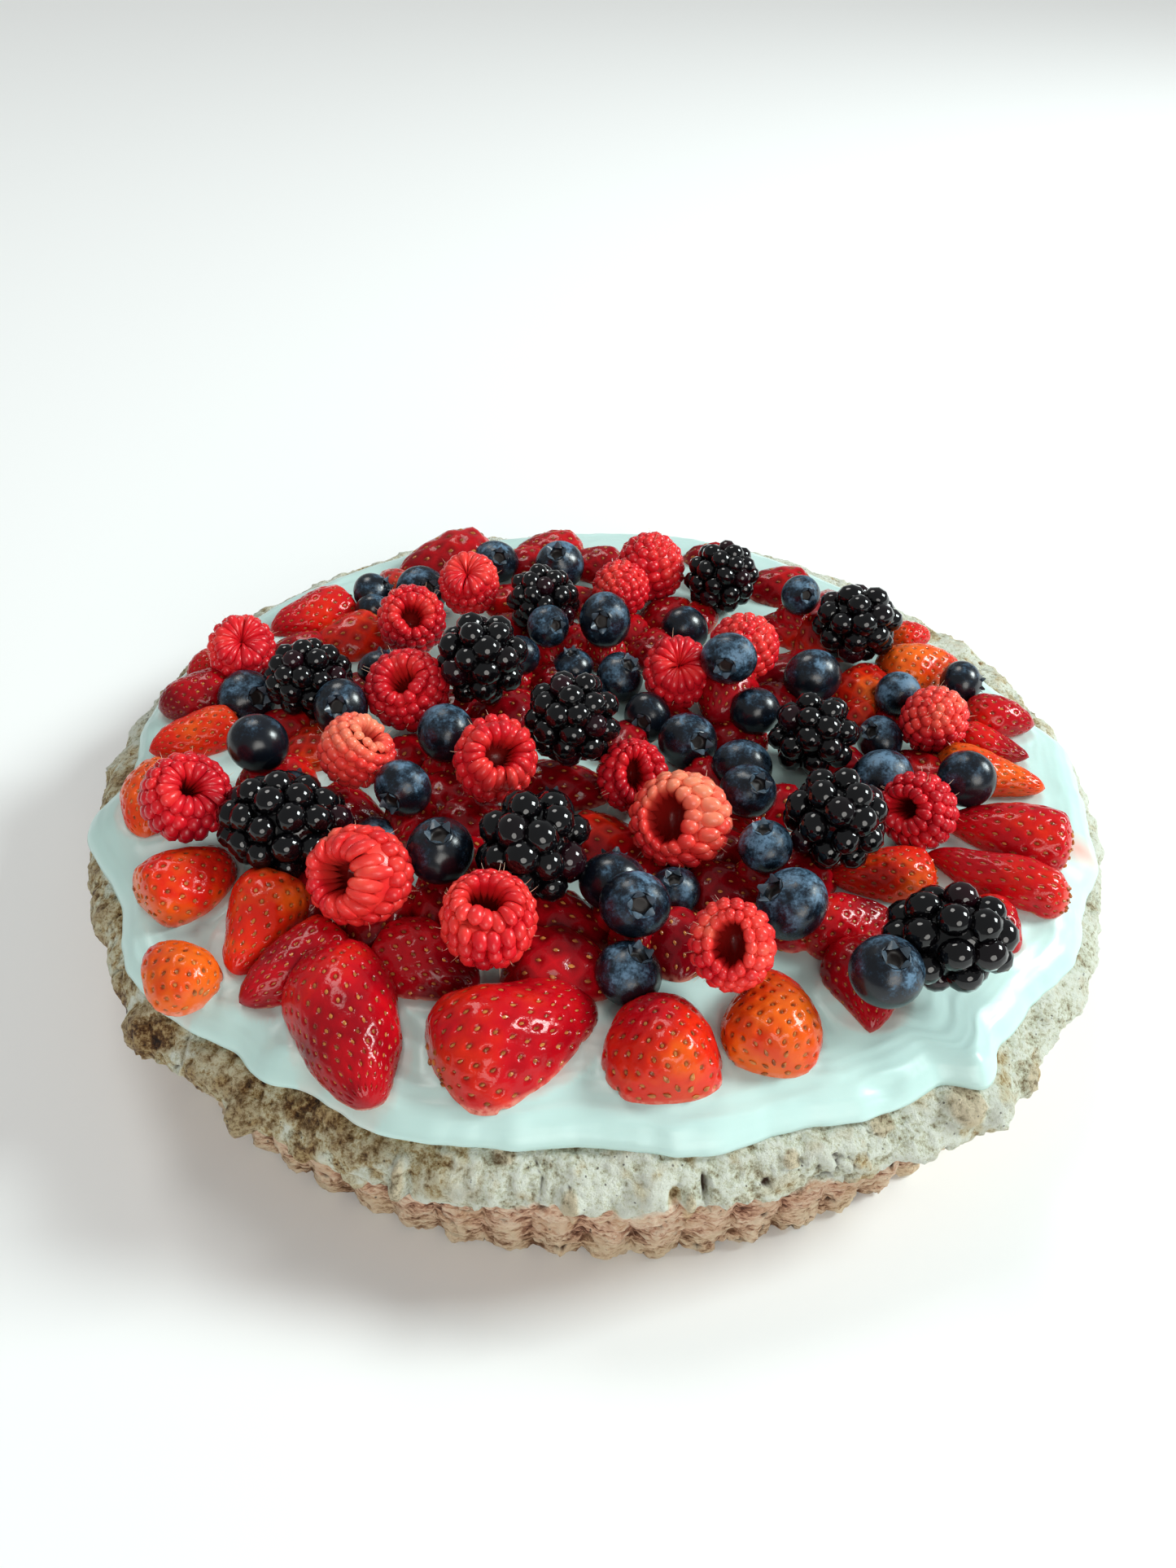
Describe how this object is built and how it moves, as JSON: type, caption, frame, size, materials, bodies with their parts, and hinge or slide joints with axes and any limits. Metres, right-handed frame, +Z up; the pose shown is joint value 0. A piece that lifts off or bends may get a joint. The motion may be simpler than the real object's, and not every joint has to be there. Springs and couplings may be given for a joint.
{
  "type": "nut meringue cake",
  "caption": "Round nut meringue cake with a fluted side, a layer of whipped cream and a heap of fresh berries and cut strawberries on top.",
  "frame": {"origin": "middle of the flat underside of the meringue base", "axes": "+Z up from the underside; -Y towards the front of the cake, which the picture was taken from; +X to the right of it"},
  "size_m": [0.2807, 0.2809, 0.0804],
  "materials": {
    "nut_meringue": "rough baked meringue, pale on the risen crust and browner on the fluted side",
    "whipped_cream": "smooth moist whipped cream",
    "mixed_fruit": "moist fruit, red and dark blue",
    "strawberry": "glossy red skin with golden seeds",
    "raspberry": "soft red drupelets",
    "bramble": "glossy near-black drupelets",
    "blueberry": "dark blue skin with a pale bloom"
  },
  "bodies": {
    "root": {"meringue_base": "nut_meringue", "cream": "whipped_cream", "fruit_heap": "mixed_fruit", "strawberry_01": "strawberry", "strawberry_02": "strawberry", "strawberry_03": "strawberry", "strawberry_04": "strawberry", "strawberry_05": "strawberry", "strawberry_06": "strawberry", "strawberry_07": "strawberry", "strawberry_08": "strawberry", "strawberry_09": "strawberry", "strawberry_10": "strawberry", "strawberry_11": "strawberry", "strawberry_12": "strawberry", "strawberry_13": "strawberry", "strawberry_14": "strawberry", "strawberry_15": "strawberry", "strawberry_16": "strawberry", "strawberry_17": "strawberry", "strawberry_18": "strawberry", "strawberry_19": "strawberry", "strawberry_20": "strawberry", "strawberry_21": "strawberry", "strawberry_22": "strawberry", "strawberry_23": "strawberry", "strawberry_24": "strawberry", "strawberry_25": "strawberry", "raspberry_01": "raspberry", "raspberry_02": "raspberry", "raspberry_03": "raspberry", "raspberry_04": "raspberry", "raspberry_05": "raspberry", "raspberry_06": "raspberry", "raspberry_07": "raspberry", "raspberry_08": "raspberry", "raspberry_09": "raspberry", "raspberry_10": "raspberry", "raspberry_11": "raspberry", "raspberry_12": "raspberry", "raspberry_13": "raspberry", "raspberry_14": "raspberry", "raspberry_15": "raspberry", "raspberry_16": "raspberry", "raspberry_17": "raspberry", "raspberry_18": "raspberry", "bramble_01": "bramble", "bramble_02": "bramble", "bramble_03": "bramble", "bramble_04": "bramble", "bramble_05": "bramble", "bramble_06": "bramble", "bramble_07": "bramble", "bramble_08": "bramble", "bramble_09": "bramble", "bramble_10": "bramble", "bramble_11": "bramble", "blueberry_01": "blueberry", "blueberry_02": "blueberry", "blueberry_03": "blueberry"}
  },
  "joints": []
}
